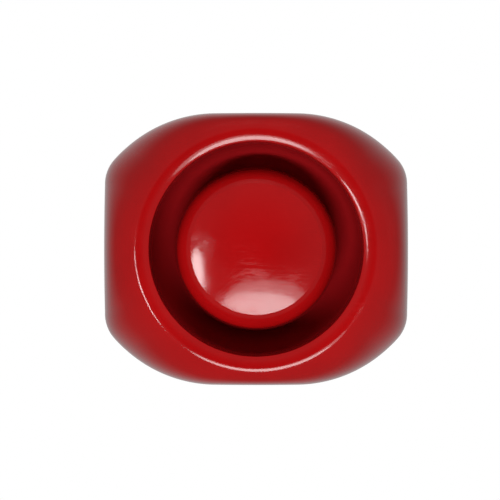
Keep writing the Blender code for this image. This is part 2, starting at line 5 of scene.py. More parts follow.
import bmesh
import bpy
import numpy as np
from bpy.props import FloatProperty, FloatVectorProperty, IntProperty, PointerProperty
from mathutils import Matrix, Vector


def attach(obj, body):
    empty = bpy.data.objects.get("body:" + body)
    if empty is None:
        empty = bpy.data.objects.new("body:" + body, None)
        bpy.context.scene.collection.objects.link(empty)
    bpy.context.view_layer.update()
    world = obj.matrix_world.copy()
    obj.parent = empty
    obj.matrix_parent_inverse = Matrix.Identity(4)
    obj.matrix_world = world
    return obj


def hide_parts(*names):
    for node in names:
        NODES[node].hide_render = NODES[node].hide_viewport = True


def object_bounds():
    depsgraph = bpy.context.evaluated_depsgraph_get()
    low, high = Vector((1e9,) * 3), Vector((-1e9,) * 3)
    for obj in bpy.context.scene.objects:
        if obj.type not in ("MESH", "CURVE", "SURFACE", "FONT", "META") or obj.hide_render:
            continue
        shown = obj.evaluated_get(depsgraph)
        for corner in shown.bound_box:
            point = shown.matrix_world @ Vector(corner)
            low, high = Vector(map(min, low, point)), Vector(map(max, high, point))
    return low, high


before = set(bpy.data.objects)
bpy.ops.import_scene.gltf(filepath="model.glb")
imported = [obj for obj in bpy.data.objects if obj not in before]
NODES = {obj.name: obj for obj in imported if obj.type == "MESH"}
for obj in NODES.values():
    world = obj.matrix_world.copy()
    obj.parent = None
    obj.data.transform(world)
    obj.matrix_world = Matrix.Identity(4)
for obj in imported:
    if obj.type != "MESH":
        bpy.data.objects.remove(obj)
CAD_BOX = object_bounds()

bl_info = {
    "name": "Alarm Sounder",
    "version": (1, 0, 0),
    "blender": (4, 5, 0),
    "location": "View3D > Sidebar > Sounder",
    "description": "Builds the finished pieces of a wall-mounted alarm sounder",
    "category": "Add Mesh",
}


def mm(*values):
    """Millimetres as metres: one number, or a tuple of them."""
    metres = tuple(value * 0.001 for value in values)
    return metres[0] if len(metres) == 1 else metres


# ---------- sizes and colours a user would change


class SounderShape(bpy.types.PropertyGroup):
    """Driving sizes of the head and the back box, in metres."""

    half_width: FloatProperty(
        name="Half Width",
        description="From the middle to the flat sides",
        default=max(abs(CAD_BOX[0].x), CAD_BOX[1].x),
        unit="LENGTH",
    )
    half_height: FloatProperty(
        name="Half Height",
        description="From the middle to the top, which is also the end arcs' radius",
        default=CAD_BOX[1].z,
        unit="LENGTH",
    )
    depth: FloatProperty(
        name="Depth",
        description="From the wall to the ring's crest",
        default=-CAD_BOX[0].y,
        unit="LENGTH",
    )
    arc_centre: FloatProperty(
        name="Arc Centre",
        description="How far from the middle the end arcs are centred",
        default=mm(14.4),
        unit="LENGTH",
    )
    corner_fillet: FloatProperty(
        name="Corner Fillet",
        description="Radius where the flat sides meet the arcs",
        default=mm(13.0),
        unit="LENGTH",
    )
    crest_radius: FloatProperty(
        name="Crest Radius",
        description="Radius of the raised ring's crest",
        default=mm(40.4),
        unit="LENGTH",
    )
    ring_round: FloatProperty(
        name="Ring Round",
        description="Radius of the round just outside the ring's crest",
        default=mm(3.5),
        unit="LENGTH",
    )
    lip_round: FloatProperty(
        name="Lip Round",
        description="Radius of the round from the crest in to the mouth",
        default=mm(8.5),
        unit="LENGTH",
    )
    fullness: FloatProperty(
        name="Fullness",
        description="Exponent of the shoulder's curve where the shoulder is narrowest",
        default=6.2,
        min=2.0,
    )
    softening: FloatProperty(
        name="Softening",
        description="How much the exponent falls for each metre that the shoulder widens",
        default=390.0,
    )
    around: IntProperty(
        name="Steps Around",
        description="Grid steps round the head's surfaces",
        default=288,
        min=48,
        max=480,
    )


class SounderColours(bpy.types.PropertyGroup):
    """Base colours of the visible plastics. Horn Red is the gloss red made darker and a little more purple
    for the horn bowl and the plug's rear down in the mouth: painted shade of the recess.
    """

    gloss: FloatVectorProperty(
        name="Gloss Red",
        description="Head and the plug's dome",
        subtype="COLOR",
        min=0.0,
        max=1.0,
        default=(0.45, 0.004, 0.005),
    )
    # Painted shade: the gloss red darkened for the surfaces down in the mouth's recess.
    horn: FloatVectorProperty(
        name="Horn Red",
        description="Horn bowl and the plug's rear",
        subtype="COLOR",
        min=0.0,
        max=1.0,
        default=(0.37, 0.008, 0.011),
    )
    satin: FloatVectorProperty(
        name="Satin Red",
        description="Back box and its blanks",
        subtype="COLOR",
        min=0.0,
        max=1.0,
        default=(0.36, 0.008, 0.009),
    )


def shape():
    """The sounder's sizes as set in the scene."""
    return bpy.context.scene.sounder_shape


def colours():
    """The sounder's colours as set in the scene."""
    return bpy.context.scene.sounder_colours


# Fixed heights above the wall, radii and wall thickness of the head.
PARTING = mm(40.3)  # the head's rear edge
SKIRT_TOP = mm(55.0)  # where the flat skirt becomes the shoulder
SKIRT_DRAFT = mm(0.4)  # how far the skirt leans in up to there
SHELL = mm(2.8)
MOUTH_RADIUS = mm(36.6)
COLLAR_END = mm(80.3)  # the rear end of the collar in the mouth, just clear of the horn's rim
COLLAR_INNER = mm(36.4)
COLLAR_OUTER = mm(38.4)

# The shoulder's curve.
NARROW_SHOULDER = mm(6.95)  # its least width
SOFTEST = 2.4  # its lowest exponent
BANK_SLOPE = 0.5  # the steady slope of the bank outside the ring

# Where axes stand that several pieces share.
LOCK_HEIGHT = mm(45.0)
LOCK_AXIS = (0.0, LOCK_HEIGHT)  # runs across: (up, out of the wall)
ENTRY_AXIS = mm(0, 17.5)  # runs up: (across, out of the wall)
REAR_ENTRY = mm(0, 24)  # this and the next two run out of the wall: (across, up)
SWITCH = mm(-14, 10)
TRIMMER = mm(12, 12)

# The contact pins and their sockets, in millimetres.
PIN_ROW = -14
PIN_PLACES = (-5, 0, 5)


# ---------- surfaces


def outward(mesh):
    """Turns every face round if the volume the faces enclose comes out negative."""
    mesh.calc_loop_triangles()
    corners = np.zeros(len(mesh.loop_triangles) * 3, np.int32)
    mesh.loop_triangles.foreach_get("vertices", corners)
    points = np.zeros(len(mesh.vertices) * 3)
    mesh.vertices.foreach_get("co", points)
    a, b, c = points.reshape(-1, 3)[corners.reshape(-1, 3)].transpose(1, 0, 2)
    if np.einsum("ij,ij->i", a, np.cross(b, c)).sum() < 0:
        mesh.flip_normals()


def wall_frame(across, up, out):
    """Points from across, up the wall and out of the wall, as world x, z and -y."""
    return np.stack(np.broadcast_arrays(across, -out, up), axis=-1)


def made_piece(name, mesh, finish, sharp=40):
    """An object of the mesh: faces outwards, smooth but for edges sharper than this many degrees."""
    outward(mesh)
    mesh.shade_smooth()
    mesh.set_sharp_from_angle(angle=math.radians(sharp))
    mesh.materials.append(finish)
    piece = bpy.data.objects.new(name, mesh)
    bpy.context.scene.collection.objects.link(piece)
    return piece


def grid_piece(name, grid, finish, closed=True, caps=False, sharp=40):
    """A piece whose surface is a grid of rows by columns. Columns always join up; closed joins the rows too,
    and caps fills the first and last rows with a fan of faces round their middles."""
    rows, columns = grid.shape[:2]
    points = grid.reshape(-1, 3)
    row = np.arange(rows if closed else rows - 1)[:, None]
    column = np.arange(columns)[None, :]
    after, beside = (row + 1) % rows, (column + 1) % columns
    places = ((row, column), (row, beside), (after, beside), (after, column))
    corners = np.broadcast_arrays(*[r * columns + c for r, c in places])
    faces = np.stack(corners, axis=-1).reshape(-1, 4).tolist()
    if caps:
        ring = np.arange(columns)
        for start, turn in ((0, -1), ((rows - 1) * columns, 1)):
            middle = len(points)
            points = np.vstack([points, points[start + ring].mean(axis=0)])
            pair = (start + ring, start + np.roll(ring, -1))[::turn]
            faces += np.stack([*pair, np.full(columns, middle)], axis=-1).tolist()
    mesh = bpy.data.meshes.new(name)
    mesh.from_pydata(points.tolist(), [], faces)
    clean = bmesh.new()
    clean.from_mesh(mesh)
    bmesh.ops.remove_doubles(clean, verts=clean.verts, dist=1e-6)
    bmesh.ops.dissolve_degenerate(clean, edges=clean.edges, dist=1e-7)
    clean.to_mesh(mesh)
    clean.free()
    return made_piece(name, mesh, finish, sharp)


def rounded(profile, radius, steps=5, closed=False):
    """A profile with its corners turned to arcs: each corner is cut back along both sides by the arc's
    tangent length (at most 0.45 of a side) and a quadratic curve joins the cuts. radius is one number, or one
    for each corner."""
    points = np.asarray(profile, float)
    radii = np.broadcast_to(np.asarray(radius, float), len(points))
    share = np.linspace(0, 1, steps)[:, None]
    out = []
    for i, corner in enumerate(points):
        if not closed and i in (0, len(points) - 1):
            out.append(corner[None])
            continue
        before, after = points[i - 1] - corner, points[(i + 1) % len(points)] - corner
        lengths = np.linalg.norm(before), np.linalg.norm(after)
        cosine = np.clip(before @ after / max(lengths[0] * lengths[1], 1e-12), -1, 1)
        half = math.acos(cosine) / 2
        back = min(radii[i] / max(math.tan(half), 1e-6), 0.45 * lengths[0], 0.45 * lengths[1])
        if back < 1e-7 or half > math.radians(88):
            out.append(corner[None])
            continue
        start, end = corner + before / lengths[0] * back, corner + after / lengths[1] * back
        out.append((1 - share) ** 2 * start + 2 * share * (1 - share) * corner + share**2 * end)
    return np.vstack(out)


def dense(profile, step):
    """The profile with extra points on its long straight stretches, none further apart than step."""
    points = np.asarray(profile, float)
    out = [points[:1]]
    for a, b in zip(points[:-1], points[1:], strict=True):
        count = max(1, math.ceil(np.linalg.norm(b - a) / step))
        out.append(a + (b - a) * np.linspace(0, 1, count + 1)[1:, None])
    return np.vstack(out)


def arc(centre, radii, start, end, count):
    """Points of an elliptical arc in the (radius, height) plane, angles in degrees."""
    turns = np.radians(np.linspace(start, end, count))
    return np.column_stack([centre[0] + radii[0] * np.cos(turns), centre[1] + radii[1] * np.sin(turns)])


def turned_piece(name, profile, finish, centre=(0.0, 0.0), steps=96, closed=True, axis="out"):
    """A profile of (radius, height) turned about an axis through centre, with height along the axis. axis
    and centre are "out" and (across, up), "up" and (across, out), or "across" and (up, out)."""
    turn = np.linspace(0, 2 * math.pi, steps, endpoint=False)[None, :]
    radius, height = np.hsplit(np.asarray(profile, float), 2)
    first, second = radius * np.cos(turn), radius * np.sin(turn)
    if axis == "out":
        grid = wall_frame(centre[0] + first, centre[1] + second, height)
    elif axis == "up":
        grid = wall_frame(centre[0] + first, height, centre[1] + second)
    else:
        grid = wall_frame(height, centre[0] + first, centre[1] + second)
    return grid_piece(name, grid, finish, closed=closed)


def block_piece(name, size, centre, low, high, finish, bevel=0.0):
    """A box of size (across, up) round a centre (across, up), between two heights above the wall; bevel
    rounds its edges over."""
    solid = bmesh.new()
    bmesh.ops.create_cube(solid, size=1.0)
    bmesh.ops.scale(solid, vec=(size[0], high - low, size[1]), verts=solid.verts)
    bmesh.ops.translate(solid, vec=(centre[0], -(low + high) / 2, centre[1]), verts=solid.verts)
    if bevel:
        bmesh.ops.bevel(solid, geom=solid.edges[:], offset=bevel, segments=3, profile=0.5, affect="EDGES")
    mesh = bpy.data.meshes.new(name)
    solid.to_mesh(mesh)
    solid.free()
    return made_piece(name, mesh, finish)


def rod_tool(name, radius, low, high, centre, finish, steps=32, axis="out"):
    """A plain cylinder along an axis, for cutting."""
    profile = [(0, low), (radius, low), (radius, high), (0, high)]
    return turned_piece(name, profile, finish, centre, steps, axis=axis)


def cross_screw(name, head, shank, centre, finish):
    """A screw with a cross recess that faces the wall. head is its radius, outer height and inner height,
    and shank its radius and far height."""
    radius, outer, inner = head
    core, far = shank
    profile = rounded(
        [(0, far), (core, far), (core, inner), (radius, inner), (radius, outer + mm(0.5)), (0, outer)],
        [0, mm(0.3), 0, mm(0.15), mm(0.5), 0],
    )
    screw = turned_piece(name, profile, finish, centre, 40, closed=False)
    long, thin = radius * 1.3, mm(0.55)
    above, bottom = outer - mm(1), outer + mm(0.9)
    tools = [
        block_piece(f"{name}_slot", (long, thin), centre, above, bottom, finish),
        block_piece(f"{name}_cross", (thin, long), centre, above, bottom, finish),
    ]
    carve(screw, *tools)
    return screw


def outline(angle, inset):
    """Distance from the middle to the outline, moved in by inset, along rays at these angles: the nearest of
    the flat side, the fillet and the end arc or flat top."""
    s = shape()
    across, up = np.abs(np.cos(angle)), np.abs(np.sin(angle))
    half, radius = s.half_width - inset, s.half_height - inset
    fillet = np.maximum(s.corner_fillet - inset, mm(0.5))
    side = half / np.maximum(across, 1e-9)
    reach = s.arc_centre * across + np.sqrt(radius**2 - (s.arc_centre * up) ** 2)
    reach = np.where(reach * across < s.arc_centre, radius / np.maximum(up, 1e-9), reach)
    fillet_x = half - fillet
    fillet_y = np.sqrt((radius - fillet) ** 2 - (fillet_x - s.arc_centre) ** 2)
    lean = np.arctan2(fillet_y, fillet_x - s.arc_centre)
    start = np.arctan2(fillet_y, half)
    end = np.arctan2(radius * np.sin(lean), s.arc_centre + radius * np.cos(lean))
    along = fillet_x * across + fillet_y * up
    under = np.maximum(fillet**2 - fillet_x**2 - fillet_y**2 + along**2, 0)
    turn = np.arctan2(up, across)
    on_fillet = (turn > start) & (turn < end)
    return np.where(on_fillet, along + np.sqrt(under), np.minimum(side, reach))


def angles():
    """A row of even angles round the middle."""
    return np.linspace(0, 2 * math.pi, shape().around, endpoint=False)[None, :]


def outline_rows(profile):
    """Rows of the outline at each (inset, height) pair of a profile."""
    turn = angles()
    inset, height = np.hsplit(np.asarray(profile, float), 2)
    reach = outline(turn, inset)
    return wall_frame(reach * np.cos(turn), reach * np.sin(turn), height + 0 * reach)


def circle_rows(profile):
    """Rows of circles at each (radius, height) pair of a profile."""
    turn = angles()
    radius, height = np.hsplit(np.asarray(profile, float), 2)
    return wall_frame(radius * np.cos(turn), radius * np.sin(turn), height + 0 * turn)


def shoulder_rows(turns, inset, crest_radius, crest):
    """Shoulder from the outline at the skirt's top to the round crest. With s the distance outside the crest,
    w the shoulder's width and u = s/w, the height is a superellipse 1 - u^n, raised to 1/n, less a bank that
    leaves the crest on a round and settles to a steady slope; n falls as the shoulder widens."""
    s = shape()
    angle = angles()
    width = outline(angle, inset) - crest_radius
    wide = outline(angle, SKIRT_DRAFT) - s.crest_radius - NARROW_SHOULDER
    n = np.maximum(SOFTEST, s.fullness - s.softening * wide)
    across, up = np.cos(turns)[:, None], np.sin(turns)[:, None]
    scale = (np.abs(across) ** n + np.abs(up) ** n) ** (-1 / n)
    out, rise = width * across * scale, np.maximum(up * scale, 0.0)
    easing = s.ring_round * BANK_SLOPE

    def bank(distance):
        """How far the bank has dropped: the log of a hyperbolic cosine, a round that becomes a slope."""
        return BANK_SLOPE * easing * np.log(np.cosh(distance / easing))

    total = crest - SKIRT_TOP
    height = SKIRT_TOP + (total - bank(width)) * rise + bank(width) - bank(out)
    reach = crest_radius + out
    return wall_frame(reach * np.cos(angle), reach * np.sin(angle), height)


# ---------- materials


class Nodes:
    """A new material and short ways to lay out its nodes; each method returns the new node's output."""

    def __init__(self, name):
        self.material = bpy.data.materials.new(name)
        self.material.use_nodes = True
        self.tree = self.material.node_tree
        self.shader = self.tree.nodes["Principled BSDF"]
        self.place = self.add("ShaderNodeTexCoord").outputs["Object"]

    def add(self, kind, **settings):
        """A new node itself, with these of its settings."""
        node = self.tree.nodes.new(kind)
        for key, value in settings.items():
            setattr(node, key, value)
        return node

    def link(self, source, node, socket):
        """Joins an output to a node's input."""
        self.tree.links.new(source, node.inputs[socket])

    def stretched(self, scale, turn=(0, 0, 0)):
        """The object's coordinates turned and stretched."""
        node = self.add("ShaderNodeMapping")
        node.inputs["Scale"].default_value = scale
        node.inputs["Rotation"].default_value = turn
        self.link(self.place, node, "Vector")
        return node.outputs["Vector"]

    def noise(self, scale, detail, roughness=0.5, vector=None):
        node = self.add("ShaderNodeTexNoise")
        node.inputs["Scale"].default_value = scale
        node.inputs["Detail"].default_value = detail
        node.inputs["Roughness"].default_value = roughness
        self.link(vector or self.place, node, "Vector")
        return node.outputs["Fac"]

    def spread(self, value, low, high, to_low=0.0, to_high=1.0):
        """value moved from the range low to high into the range to_low to to_high, clamped."""
        node = self.add("ShaderNodeMapRange")
        ends = {"From Min": low, "From Max": high, "To Min": to_low, "To Max": to_high}
        for socket, number in ends.items():
            node.inputs[socket].default_value = number
        self.link(value, node, "Value")
        return node.outputs["Result"]

    def arithmetic(self, operation, a, b):
        node = self.add("ShaderNodeMath", operation=operation)
        for socket, value in ((0, a), (1, b)):
            if isinstance(value, (int, float)):
                node.inputs[socket].default_value = value
            else:
                self.link(value, node, socket)
        return node.outputs["Value"]

    def mix(self, factor, a, b):
        """Colour a going to colour b as factor rises."""
        node = self.add("ShaderNodeMix", data_type="RGBA")
        self.link(factor, node, "Factor")
        for socket, value in (("A", a), ("B", b)):
            target = next(i for i in node.inputs if i.name == socket and i.type == "RGBA")
            if isinstance(value, (tuple, list)):
                target.default_value = (*value[:3], 1.0)
            else:
                self.tree.links.new(value, target)
        return next(o for o in node.outputs if o.type == "RGBA")

    def bump(self, height, distance, strength=1.0, under=None):
        node = self.add("ShaderNodeBump")
        node.inputs["Distance"].default_value = distance
        node.inputs["Strength"].default_value = strength
        self.link(height, node, "Height")
        if under is not None:
            self.link(under, node, "Normal")
        return node.outputs["Normal"]

    def finish(self, colour, roughness, normal=None, **constants):
        """The material, its shader fed by outputs; roughness may be a number."""
        self.link(colour, self.shader, "Base Color")
        if isinstance(roughness, float):
            self.shader.inputs["Roughness"].default_value = roughness
        else:
            self.link(roughness, self.shader, "Roughness")
        if normal is not None:
            self.link(normal, self.shader, "Normal")
        for key, value in constants.items():
            self.shader.inputs[key.replace("_", " ")].default_value = value
        return self.material


def shade(colour, factor):
    """A colour made lighter or darker."""
    return tuple(min(1.0, channel * factor) for channel in colour)


def scratches(nodes, scale, turn, keep):
    """Sparse hairlines: noise stretched along one direction, kept only near its middle value and faded in and
    out over patches of the surface; a larger keep gives more patches."""
    lines = nodes.noise(scale, 2.0, 0.5, nodes.stretched((1.0, 1.0, 14.0), turn))
    centred = nodes.arithmetic("ABSOLUTE", nodes.arithmetic("SUBTRACT", lines, 0.5), 0.0)
    thin = nodes.spread(centred, 0.0, 0.02, 1.0, 0.0)
    patches = nodes.spread(nodes.noise(60.0, 2.0), 0.88 - keep, 1.2 - keep)
    return nodes.arithmetic("MULTIPLY", thin, patches)


def gloss_red(name, colour, roughness, wear=0.0):
    """Gloss moulded plastic: faint flow mottling, slight orange peel, handling haze and hairlines over the
    share of the surface that wear gives."""
    nodes = Nodes(name)
    mottle = nodes.noise(38.0, 4.0, 0.6)
    tone = nodes.mix(nodes.spread(mottle, 0.35, 0.65), shade(colour, 0.93), shade(colour, 1.05))
    haze = nodes.spread(nodes.noise(90.0, 5.0, 0.65), 0.42, 0.75, roughness, roughness + 0.06)
    peel = nodes.bump(nodes.noise(420.0, 2.0, 0.5), mm(0.02), 0.25)
    if not wear:
        return nodes.finish(tone, haze, peel, Specular_IOR_Level=0.5)
    first = scratches(nodes, 80.0, (0.3, 0.5, 0.2), wear)
    second = scratches(nodes, 110.0, (-0.6, 1.3, -0.4), 0.9 * wear)
    marks = nodes.arithmetic("MAXIMUM", first, second)
    rough = nodes.arithmetic("ADD", haze, nodes.arithmetic("MULTIPLY", marks, 0.22))
    lighter = nodes.mix(nodes.arithmetic("MULTIPLY", marks, 0.35), tone, shade(colour, 1.5))
    scored = nodes.bump(marks, mm(0.015), 0.6, peel)
    return nodes.finish(lighter, rough, scored, Specular_IOR_Level=0.5)


def moulded(name, colour, roughness, grain, depth, variation=0.06):
    """Moulded or cast surface: fine grain this deep in millimetres, mild tone and roughness variation."""
    nodes = Nodes(name)
    tone = nodes.mix(
        nodes.spread(nodes.noise(55.0, 4.0, 0.6), 0.3, 0.7),
        shade(colour, 1 - variation),
        shade(colour, 1 + variation),
    )
    rough = nodes.spread(nodes.noise(130.0, 3.0), 0.3, 0.7, max(roughness - 0.06, 0.02), roughness + 0.06)
    relief = nodes.bump(nodes.noise(grain, 2.0, 0.6), mm(depth), 0.5)
    return nodes.finish(tone, rough, relief)


def plated(name, colour, roughness):
    """Plated metal with fine turned lines and darker tarnish in patches."""
    nodes = Nodes(name)
    tarnish = nodes.spread(nodes.noise(240.0, 5.0, 0.7), 0.45, 0.8)
    tone = nodes.mix(tarnish, colour, shade(colour, 0.62))
    rough = nodes.spread(nodes.noise(600.0, 4.0), 0.3, 0.8, roughness, roughness + 0.18)
    lines = nodes.bump(nodes.noise(900.0, 1.0, 0.5, nodes.stretched((1, 6, 1))), mm(0.01), 0.3)
    return nodes.finish(tone, rough, lines, Metallic=1.0)


def solder_resist(name, colour):
    """Circuit board: green resist over faint tracks that stand a little proud."""
    nodes = Nodes(name)
    grid = nodes.add("ShaderNodeTexBrick")
    grid.inputs["Scale"].default_value = 90.0
    grid.inputs["Mortar Size"].default_value = 0.03
    nodes.link(nodes.stretched((1, 1, 1), (math.pi / 2, 0, 0)), grid, "Vector")
    tracks = grid.outputs["Fac"]
    tone = nodes.mix(tracks, colour, shade(colour, 1.7))
    relief = nodes.bump(tracks, mm(0.03), 0.4)
    return nodes.finish(tone, 0.32, relief)


# The finishes made so far, by name.
MATERIALS = {}


def material(name):
    """The named finish, made once. A recipe is a function and what it takes after the name."""
    if name not in MATERIALS:
        paint = colours()
        recipes = {
            "gloss_red": (gloss_red, paint.gloss, 0.08, 0.36),
            "worn_red": (gloss_red, paint.gloss, 0.08, 0.48),
            # Painted shade: the horn bowl and the plug's rear take a darker red that stands in for the shade
            # in the recess.
            "horn_red": (gloss_red, paint.horn, 0.2),
            "satin_red": (moulded, paint.satin, 0.36, 1100.0, 0.03),
            "black_rubber": (moulded, (0.014, 0.014, 0.014), 0.72, 700.0, 0.04, 0.2),
            "black_plastic": (moulded, (0.02, 0.02, 0.021), 0.4, 1200.0, 0.02, 0.15),
            "board": (solder_resist, (0.012, 0.12, 0.045)),
            "terminal_green": (moulded, (0.03, 0.2, 0.07), 0.36, 900.0, 0.02),
            "screw_steel": (plated, (0.62, 0.61, 0.58), 0.24),
            "driver_steel": (plated, (0.5, 0.5, 0.5), 0.3),
            "ferrite": (moulded, (0.035, 0.035, 0.038), 0.55, 500.0, 0.06, 0.25),
            "brass": (plated, (0.72, 0.5, 0.2), 0.24),
            "copper": (plated, (0.68, 0.28, 0.12), 0.3),
            "amber_film": (moulded, (0.42, 0.2, 0.04), 0.3, 300.0, 0.02),
            "white_plastic": (moulded, (0.72, 0.72, 0.68), 0.38, 900.0, 0.02, 0.04),
            "blue_plastic": (moulded, (0.02, 0.09, 0.36), 0.36, 900.0, 0.02),
            "capacitor_sleeve": (moulded, (0.012, 0.03, 0.12), 0.28, 300.0, 0.02),
            "lead_red": (moulded, (0.4, 0.008, 0.008), 0.42, 600.0, 0.02),
            "lead_black": (moulded, (0.012, 0.012, 0.012), 0.42, 600.0, 0.02),
        }
        make, *values = recipes[name]
        MATERIALS[name] = make(name, *values)
    return MATERIALS[name]


def settle(piece, body, slot, *nodes):
    """Puts a finished piece on its body and hides the frame nodes it stands for, if it has any. slot is not
    used.
    """
    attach(piece, body)
    if nodes:
        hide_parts(*nodes)


def carve(piece, *tools):
    """Cuts the tools out of a piece, keeps the result as its mesh and removes the tools."""
    for tool in tools:
        step = piece.modifiers.new("cut", "BOOLEAN")
        step.operation = "DIFFERENCE"
        step.object = tool
        step.solver = "EXACT"
    graph = bpy.context.evaluated_depsgraph_get()
    mesh = bpy.data.meshes.new_from_object(piece.evaluated_get(graph))
    piece.modifiers.clear()
    piece.data = mesh
    for tool in tools:
        bpy.data.objects.remove(tool)
    mesh.shade_smooth()
    mesh.set_sharp_from_angle(angle=math.radians(40))


def stretch(piece, middle, half):
    """Pulls a piece apart across its middle: points right of it move right by half, the others left."""
    points = np.zeros(len(piece.data.vertices) * 3)
    piece.data.vertices.foreach_get("co", points)
    points[0::3] += np.where(points[0::3] > middle, half, -half)
    piece.data.vertices.foreach_set("co", points)


# ---------- operators


class SOUNDER_OT_housing(bpy.types.Operator):
    """Build the head's outer shell with its raised ring"""

    bl_idname = "sounder.housing"
    bl_label = "Front Housing"

    def execute(self, context):
        s = shape()
        red = material("gloss_red")
        edge = mm(0.35)
        foot = arc((edge, PARTING + edge), (-edge, edge), -90, 0, 4)[:-1]
        skirt = dense([(0.0, PARTING + edge), (SKIRT_DRAFT, SKIRT_TOP)], mm(2))
        outside = np.radians(np.linspace(0, 90, 90))[1:]
        lip_end = 90 + math.degrees(math.asin((s.crest_radius - MOUTH_RADIUS - mm(0.1)) / s.lip_round))
        lip = arc((s.crest_radius, s.depth - s.lip_round), (s.lip_round, s.lip_round), 90, lip_end, 16)[1:]
        mouth = [tuple(lip[-1]), (MOUTH_RADIUS, lip[-1][1] - mm(0.5)), (COLLAR_INNER, COLLAR_END)]
        mouth += [(COLLAR_OUTER, COLLAR_END), (COLLAR_OUTER, s.depth - SHELL - mm(1.5))]
        mouth = dense(rounded(mouth, [0, mm(0.9), mm(0.3), mm(0.3), 0]), mm(1.5))
        inside = np.radians(np.linspace(90, 0, 24))
        inner_inset, inner_crest = SKIRT_DRAFT + SHELL - mm(0.2), s.crest_radius + mm(0.7)
        grid = np.concatenate(
            [
                outline_rows(foot),
                outline_rows(skirt),
                shoulder_rows(outside, SKIRT_DRAFT, s.crest_radius, s.depth),
                circle_rows(np.vstack([lip, mouth[1:]])),
                shoulder_rows(inside, inner_inset, inner_crest, s.depth - SHELL),
                outline_rows([(SHELL, PARTING)]),
            ]
        )
        shell = grid_piece("front_shell", grid, red, sharp=50)
        bores = []
        for side in (-1, 1):
            near, far = side * mm(49), side * mm(56)
            bores.append(rod_tool(f"bore_{side}", mm(2.9), near, far, LOCK_AXIS, red, 48, "across"))
        carve(shell, *bores)
        settle(shell, "head", "red_gloss", "front_housing")
        return {"FINISHED"}


class SOUNDER_OT_horn(bpy.types.Operator):
    """Build the horn bowl and the two-piece plug in the mouth"""

    bl_idname = "sounder.horn"
    bl_label = "Horn And Plug"

    def execute(self, context):
        self.bowl()
        self.plug_body()
        self.plug_dome()
        return {"FINISHED"}

    def bowl(self):
        """Front: a quarter ellipse from the throat's edge up to the collar. Rear: the same ellipse a wall's
        thickness out, between a rim and a flat base."""
        throat, top, floor, wall = mm(10, 80.1, 57, 2.2)
        reach, drop = COLLAR_INNER - throat, top - floor
        front = arc((throat, top), (reach, drop), -90, 0, 60)
        rear = arc((throat, top), (reach + wall, drop + wall), -5, -39.7, 16)
        rim = [mm(39.5, 80.1), mm(39.5, 78.2)]
        base = [mm(32, 54.5), mm(10, 54.5), tuple(front[0])]
        radii = [mm(0.2)] * 2 + [0] * len(rear) + [mm(0.4), mm(0.4), mm(0.8)]
        profile = np.vstack([rounded([*rim, *rear, *base], radii), front[1:]])
        # The bowl's darker red is painted shade of the recess.
        horn = turned_piece("horn_bowl", profile, material("horn_red"), steps=192)
        settle(horn, "head", "red_gloss", "horn_flare")

    def plug_body(self):
        """The plug's rear: a seat for the dome, a skirt and a rounded underside, on three legs."""
        # The plug rear's darker red is painted shade of the recess.
        red = material("horn_red")
        seat = [(0, mm(77.6)), mm(26.4, 77.6), mm(26.4, 76.6)]
        skirt = [mm(26.9, 76.0), mm(27.4, 73.0), mm(28.0, 69.5)]
        under = [mm(27.6, 68.2), mm(25.0, 66.2), mm(20.0, 63.9), mm(13.0, 62.0), mm(6.0, 61.0), (0, mm(61))]
        radii = [0, *mm(0.3, 0.4, 0.6, 4, 0.4, 0.4, 12, 20, 20, 8), 0]
        profile = rounded([*seat, *skirt, *under], radii, 8)
        body = turned_piece("plug_rear", profile, red, steps=160, closed=False)
        settle(body, "head", "red_gloss", "plug_body")
        leg_circle = mm(23.5)
        post = rounded([(0, mm(70)), mm(2.6, 70), mm(2.4, 62), (0, mm(62))], [0, 0, mm(0.3), 0])
        for i in range(3):
            turn = math.radians(90 + 120 * i)
            centre = (leg_circle * math.cos(turn), leg_circle * math.sin(turn))
            leg = turned_piece(f"plug_leg_{i + 1}", post, red, centre, 32, closed=False)
            settle(leg, "head", "red_gloss")

    def plug_dome(self):
        """A crown that is part of a large ball, then a stretch of an ellipse from its steep end down to the
        edge, then a step and the hollow inside. A small crease joins crown and ellipse."""
        crest, shoulder, radius, foot, ball = mm(88.0, 22.5, 27.2, 79.3, 80)
        slopes = np.linspace(0, math.asin(shoulder / ball), 40)
        crown = np.column_stack([ball * np.sin(slopes), crest - ball * (1 - np.cos(slopes))])
        steep = 48.6
        across = (radius - shoulder) / (1 - math.cos(math.radians(steep)))
        down = (crown[-1, 1] - foot) / math.sin(math.radians(steep))
        edge = arc((radius - across, foot), (across, down), steep, 0, 40)
        crease = rounded([tuple(crown[-3]), tuple(edge[0]), tuple(edge[4])], [0, mm(0.5), 0], 7)
        inside = [(radius, mm(77.9)), mm(25.2, 77.9), mm(25.2, 80), mm(21.2, 82.4), mm(0, 85.4)]
        inside = rounded([tuple(edge[-1]), *inside], [0, mm(0.3), mm(0.3), mm(1), mm(1), 0])
        profile = np.vstack([crown[:-3], crease, edge[5:-1], inside])
        dome = turned_piece("plug_dome", profile, material("worn_red"), steps=256, closed=False)
        settle(dome, "head", "red_gloss", "plug_cap")


